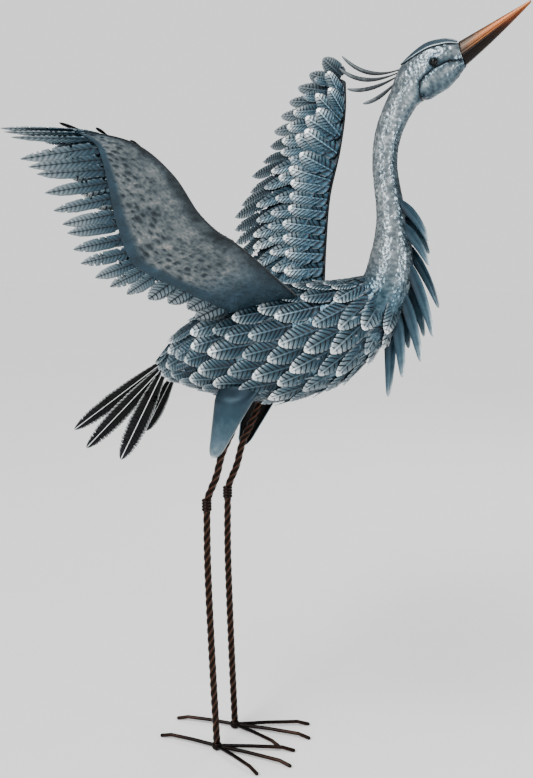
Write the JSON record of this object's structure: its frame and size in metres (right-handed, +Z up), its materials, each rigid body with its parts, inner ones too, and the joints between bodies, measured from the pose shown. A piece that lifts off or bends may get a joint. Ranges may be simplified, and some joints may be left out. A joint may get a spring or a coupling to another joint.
{
  "type": "metal bird sculpture",
  "caption": "Standing crane in painted sheet steel with raised wings, lifted bill, overlapping leaf feathers and twisted-bar legs on splayed toes.",
  "frame": {"origin": "bottom centre of the bounding box, on the ground between and a little ahead of the two feet", "axes": "+X is the way the bird faces, +Y is its left side, +Z is up"},
  "size_m": [0.7446, 0.7388, 1.162],
  "materials": {
    "feather_steel": "teal blue patina wiped back to silver on the raised edges, satin",
    "hammered_steel": "slate grey hammered sheet with pale high spots, satin",
    "dark_steel": "near black blue paint with pale worn lines, satin",
    "bronzed_bar": "dark bronze brown paint with coppery worn edges",
    "copper": "copper paint shading to brown at the base, satin",
    "eye_enamel": "glossy black enamel"
  },
  "bodies": {
    "root": {"body": "feather_steel", "crest_cap": "feather_steel", "breast_plume_1": "feather_steel", "breast_plume_2": "feather_steel", "breast_plume_3": "feather_steel", "breast_plume_4": "feather_steel", "breast_plume_5": "feather_steel", "breast_plume_6": "feather_steel", "breast_plume_7": "feather_steel", "breast_plume_8": "feather_steel", "breast_plume_9": "feather_steel", "breast_plume_10": "feather_steel", "right_wing_primaries": "feather_steel", "right_wing_coverts": "feather_steel", "left_wing_primaries": "feather_steel", "left_wing_coverts": "feather_steel", "left_thigh": "feather_steel", "right_thigh": "feather_steel", "right_wing_panel": "hammered_steel", "left_wing_panel": "hammered_steel", "crest_plume_1": "dark_steel", "crest_plume_2": "dark_steel", "crest_plume_3": "dark_steel", "crest_plume_4": "dark_steel", "tail_feather_1": "dark_steel", "tail_feather_2": "dark_steel", "tail_feather_3": "dark_steel", "tail_feather_4": "dark_steel", "left_upper_leg": "bronzed_bar", "left_lower_leg": "bronzed_bar", "left_knee_collar": "bronzed_bar", "left_foot_weld": "bronzed_bar", "left_foot_middle_toe": "bronzed_bar", "left_foot_left_toe": "bronzed_bar", "left_foot_right_toe": "bronzed_bar", "left_foot_back_toe": "bronzed_bar", "right_upper_leg": "bronzed_bar", "right_lower_leg": "bronzed_bar", "right_knee_collar": "bronzed_bar", "right_foot_weld": "bronzed_bar", "right_foot_middle_toe": "bronzed_bar", "right_foot_left_toe": "bronzed_bar", "right_foot_right_toe": "bronzed_bar", "right_foot_back_toe": "bronzed_bar", "upper_bill": "copper", "lower_bill": "copper", "left_eye": "eye_enamel", "right_eye": "eye_enamel"}
  },
  "joints": []
}
